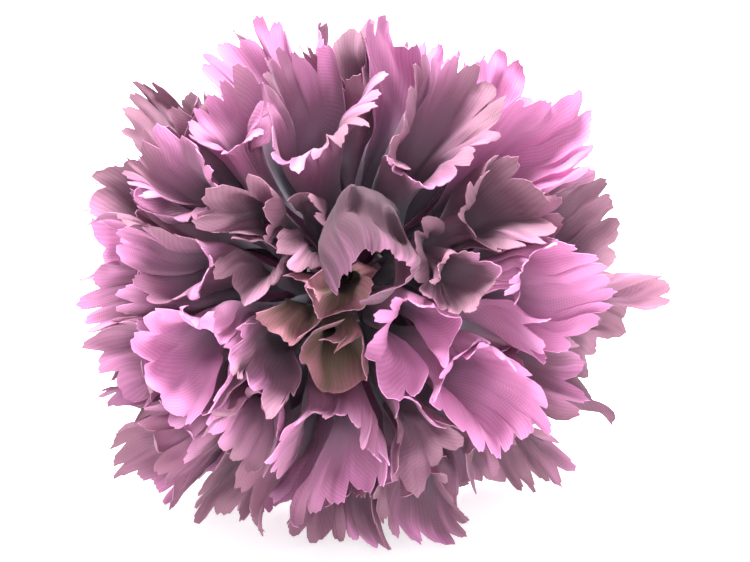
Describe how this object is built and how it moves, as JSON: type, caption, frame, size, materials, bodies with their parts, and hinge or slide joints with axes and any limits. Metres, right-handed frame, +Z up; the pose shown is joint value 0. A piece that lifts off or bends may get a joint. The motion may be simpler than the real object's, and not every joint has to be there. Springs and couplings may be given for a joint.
{
  "type": "cut carnation",
  "caption": "Full double carnation of stiffened cloth on a short wired stem, lying on its side, with pinked and fluted petals packed round a ball-shaped bloom.",
  "frame": {"origin": "middle of the flower's footprint, on the surface that it lies on", "axes": "+Z up from the surface; +Y from the bloom back along the stem to its cut end; the bloom faces -Y and leans up by about 22 degrees; +X to the right as the bloom is seen from its face"},
  "size_m": [0.1126, 0.1652, 0.0958],
  "materials": {
    "heart_cloth": "matt woven polyester, dusty rose with an olive tinge",
    "inner_cloth": "matt woven polyester, mauve shading to bright pink at the rim",
    "outer_cloth": "matt woven polyester, bright orchid pink shading to mauve",
    "green_plastic": "moulded, satin",
    "core_plastic": "moulded, matt",
    "wire": "drawn wire"
  },
  "bodies": {
    "root": {"bract_collar": "green_plastic", "calyx_cup": "green_plastic", "flower_core": "core_plastic", "petal_bottom_left_fold": "inner_cloth", "petal_bottom_trumpet": "inner_cloth", "petal_centre_face": "inner_cloth", "petal_eye_right": "inner_cloth", "petal_heart_bud": "heart_cloth", "petal_heart_left": "heart_cloth", "petal_heart_low": "heart_cloth", "petal_heart_olive": "heart_cloth", "petal_heart_upper": "heart_cloth", "petal_inner_left": "inner_cloth", "petal_left_fold": "inner_cloth", "petal_left_trumpet": "inner_cloth", "petal_left_upper_fold": "inner_cloth", "petal_long_sweep": "inner_cloth", "petal_low_gap_petal": "inner_cloth", "petal_lower_right_fold": "inner_cloth", "petal_outer_1": "outer_cloth", "petal_outer_10": "outer_cloth", "petal_outer_11": "outer_cloth", "petal_outer_12": "outer_cloth", "petal_outer_13": "outer_cloth", "petal_outer_14": "outer_cloth", "petal_outer_15": "outer_cloth", "petal_outer_16": "outer_cloth", "petal_outer_2": "outer_cloth", "petal_outer_3": "outer_cloth", "petal_outer_4": "outer_cloth", "petal_outer_5": "outer_cloth", "petal_outer_6": "outer_cloth", "petal_outer_7": "outer_cloth", "petal_outer_8": "outer_cloth", "petal_outer_9": "outer_cloth", "petal_pink_edged": "inner_cloth", "petal_rear_1": "outer_cloth", "petal_rear_10": "outer_cloth", "petal_rear_11": "outer_cloth", "petal_rear_12": "outer_cloth", "petal_rear_13": "outer_cloth", "petal_rear_14": "outer_cloth", "petal_rear_15": "outer_cloth", "petal_rear_16": "outer_cloth", "petal_rear_2": "outer_cloth", "petal_rear_3": "outer_cloth", "petal_rear_4": "outer_cloth", "petal_rear_5": "outer_cloth", "petal_rear_6": "outer_cloth", "petal_rear_7": "outer_cloth", "petal_rear_8": "outer_cloth", "petal_rear_9": "outer_cloth", "petal_right_trumpet": "inner_cloth", "petal_right_upper_fold": "inner_cloth", "petal_stray_petal": "outer_cloth", "petal_upper_left_fold": "inner_cloth", "petal_upper_left_trumpet": "inner_cloth", "petal_upper_right_fold": "inner_cloth", "stem_sleeve": "green_plastic", "stem_wire": "wire"}
  },
  "joints": []
}
